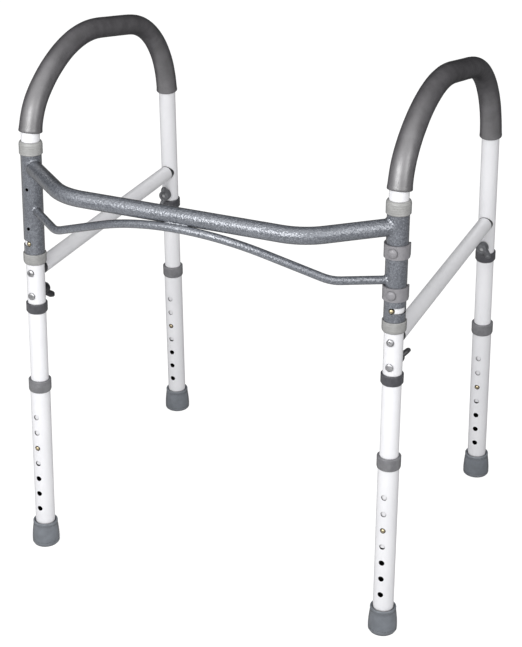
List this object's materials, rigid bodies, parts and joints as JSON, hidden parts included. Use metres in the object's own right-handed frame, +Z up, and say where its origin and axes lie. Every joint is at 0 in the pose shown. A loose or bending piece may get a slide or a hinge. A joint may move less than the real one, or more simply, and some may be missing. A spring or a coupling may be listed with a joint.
{
  "type": "toilet safety frame",
  "caption": "Free-standing safety frame that stands around a toilet, with arched foam-covered handrails, folding sides, a bowed crossbar and height-adjustable legs.",
  "frame": {"origin": "on the floor, under the middle of the frame's bounding box, with the legs at the third height hole from the top and both sides unfolded", "axes": "+Z up, +X to the right as seen from the crossbar side, +Y from the crossbar side towards the open front side"},
  "size_m": [0.5762, 0.5415, 0.7531],
  "materials": {
    "white_paint": "gloss powder coat",
    "hammered_grey_paint": "hammertone, fine sparkle",
    "light_grey_plastic": "satin moulded",
    "mid_grey_plastic": "satin moulded",
    "dark_plastic": "satin moulded",
    "black_plastic": "fine texture",
    "foam": "closed-cell foam, satin skin",
    "foot_rubber": "matte moulded rubber",
    "zinc_steel": "bright zinc plate",
    "spring_steel": "plain",
    "brass": "dull brass"
  },
  "bodies": {
    "crossbar_frame": {"crossbar_tube": "hammered_grey_paint", "arch_rod": "hammered_grey_paint", "left_hinge_sleeve": "hammered_grey_paint", "right_hinge_sleeve": "hammered_grey_paint", "left_upper_bushing": "light_grey_plastic", "left_lower_bushing": "light_grey_plastic", "right_upper_bushing": "light_grey_plastic", "right_lower_bushing": "light_grey_plastic", "lower_sleeve_clip": "mid_grey_plastic", "upper_sleeve_clip": "mid_grey_plastic", "clip_rivets": "mid_grey_plastic"},
    "left_side_frame": {"left_handrail_tube": "white_paint", "left_foam_grip": "foam", "left_side_brace": "white_paint", "left_brace_plugs": "black_plastic", "left_brace_screws": "zinc_steel", "left_clamp_bolts": "zinc_steel", "left_hinge_spring": "spring_steel", "left_rear_joint_collar": "dark_plastic", "left_rear_inner_leg": "white_paint", "left_rear_leg_spring": "spring_steel", "left_front_joint_collar": "dark_plastic", "left_front_inner_leg": "white_paint", "left_front_leg_spring": "spring_steel"},
    "left_hinge_button": {"left_hinge_button": "brass"},
    "left_rear_lower_leg": {"left_rear_outer_leg": "white_paint", "left_rear_leg_collar": "mid_grey_plastic", "left_rear_foot": "foot_rubber"},
    "left_rear_leg_button": {"left_rear_leg_button": "brass"},
    "left_rear_wing_knob": {"left_rear_wing_knob": "black_plastic"},
    "left_front_lower_leg": {"left_front_outer_leg": "white_paint", "left_front_leg_collar": "mid_grey_plastic", "left_front_foot": "foot_rubber"},
    "left_front_leg_button": {"left_front_leg_button": "brass"},
    "left_front_wing_knob": {"left_front_wing_knob": "black_plastic"},
    "right_side_frame": {"right_handrail_tube": "white_paint", "right_foam_grip": "foam", "right_side_brace": "white_paint", "right_brace_plugs": "black_plastic", "right_brace_screws": "zinc_steel", "right_clamp_bolts": "zinc_steel", "right_hinge_spring": "spring_steel", "right_rear_joint_collar": "dark_plastic", "right_rear_inner_leg": "white_paint", "right_rear_leg_spring": "spring_steel", "right_front_joint_collar": "dark_plastic", "right_front_inner_leg": "white_paint", "right_front_leg_spring": "spring_steel"},
    "right_hinge_button": {"right_hinge_button": "brass"},
    "right_rear_lower_leg": {"right_rear_outer_leg": "white_paint", "right_rear_leg_collar": "mid_grey_plastic", "right_rear_foot": "foot_rubber"},
    "right_rear_leg_button": {"right_rear_leg_button": "brass"},
    "right_rear_wing_knob": {"right_rear_wing_knob": "black_plastic"},
    "right_front_lower_leg": {"right_front_outer_leg": "white_paint", "right_front_leg_collar": "mid_grey_plastic", "right_front_foot": "foot_rubber"},
    "right_front_leg_button": {"right_front_leg_button": "brass"},
    "right_front_wing_knob": {"right_front_wing_knob": "black_plastic"}
  },
  "joints": [
    {"name": "left_side_fold", "type": "hinge", "parent": "crossbar_frame", "child": "left_side_frame", "pos_m": [-0.2615, -0.1763, 0.53966], "axis": [-0.012, -0.0333, -0.9994], "range_deg": [0, 93]},
    {"name": "left_hinge_button_press", "type": "slide", "parent": "left_side_frame", "child": "left_hinge_button", "axis": [-0.0004, 0.9994, -0.0333], "range_m": [0, 0.005], "stiffness_N_per_m": 120, "springref_m": -0.004, "deforming": ["left_hinge_spring"]},
    {"name": "left_rear_height", "type": "slide", "parent": "left_side_frame", "child": "left_rear_lower_leg", "axis": [0.012, 0.0333, 0.9994], "range_m": [-0.0508, 0.1016]},
    {"name": "left_rear_button_press", "type": "slide", "parent": "left_side_frame", "child": "left_rear_leg_button", "axis": [-0.0004, 0.9994, -0.0333], "range_m": [0, 0.005], "stiffness_N_per_m": 120, "springref_m": -0.004, "deforming": ["left_rear_leg_spring"]},
    {"name": "left_rear_knob_turn", "type": "hinge", "parent": "left_side_frame", "child": "left_rear_wing_knob", "pos_m": [-0.2631, -0.18073, 0.40674], "axis": [-0.0004, 0.9994, -0.0333], "continuous": true},
    {"name": "left_front_height", "type": "slide", "parent": "left_side_frame", "child": "left_front_lower_leg", "axis": [0.012, -0.0333, 0.9994], "range_m": [-0.0508, 0.1016]},
    {"name": "left_front_button_press", "type": "slide", "parent": "left_side_frame", "child": "left_front_leg_button", "axis": [0.0004, 0.9994, 0.0333], "range_m": [0, 0.005], "stiffness_N_per_m": 120, "springref_m": -0.004, "deforming": ["left_front_leg_spring"]},
    {"name": "left_front_knob_turn", "type": "hinge", "parent": "left_side_frame", "child": "left_front_wing_knob", "pos_m": [-0.2631, 0.23714, 0.40674], "axis": [-0.0004, -0.9994, -0.0333], "continuous": true},
    {"name": "right_side_fold", "type": "hinge", "parent": "crossbar_frame", "child": "right_side_frame", "pos_m": [0.2615, -0.1763, 0.53966], "axis": [-0.012, 0.0333, 0.9994], "range_deg": [0, 85]},
    {"name": "right_hinge_button_press", "type": "slide", "parent": "right_side_frame", "child": "right_hinge_button", "axis": [0.0004, 0.9994, -0.0333], "range_m": [0, 0.005], "stiffness_N_per_m": 120, "springref_m": -0.004, "deforming": ["right_hinge_spring"]},
    {"name": "right_rear_height", "type": "slide", "parent": "right_side_frame", "child": "right_rear_lower_leg", "axis": [-0.012, 0.0333, 0.9994], "range_m": [-0.0508, 0.1016]},
    {"name": "right_rear_button_press", "type": "slide", "parent": "right_side_frame", "child": "right_rear_leg_button", "axis": [0.0004, 0.9994, -0.0333], "range_m": [0, 0.005], "stiffness_N_per_m": 120, "springref_m": -0.004, "deforming": ["right_rear_leg_spring"]},
    {"name": "right_rear_knob_turn", "type": "hinge", "parent": "right_side_frame", "child": "right_rear_wing_knob", "pos_m": [0.2631, -0.18073, 0.40674], "axis": [0.0004, 0.9994, -0.0333], "continuous": true},
    {"name": "right_front_height", "type": "slide", "parent": "right_side_frame", "child": "right_front_lower_leg", "axis": [-0.012, -0.0333, 0.9994], "range_m": [-0.0508, 0.1016]},
    {"name": "right_front_button_press", "type": "slide", "parent": "right_side_frame", "child": "right_front_leg_button", "axis": [-0.0004, 0.9994, 0.0333], "range_m": [0, 0.005], "stiffness_N_per_m": 120, "springref_m": -0.004, "deforming": ["right_front_leg_spring"]},
    {"name": "right_front_knob_turn", "type": "hinge", "parent": "right_side_frame", "child": "right_front_wing_knob", "pos_m": [0.2631, 0.23714, 0.40674], "axis": [0.0004, -0.9994, -0.0333], "continuous": true}
  ]
}
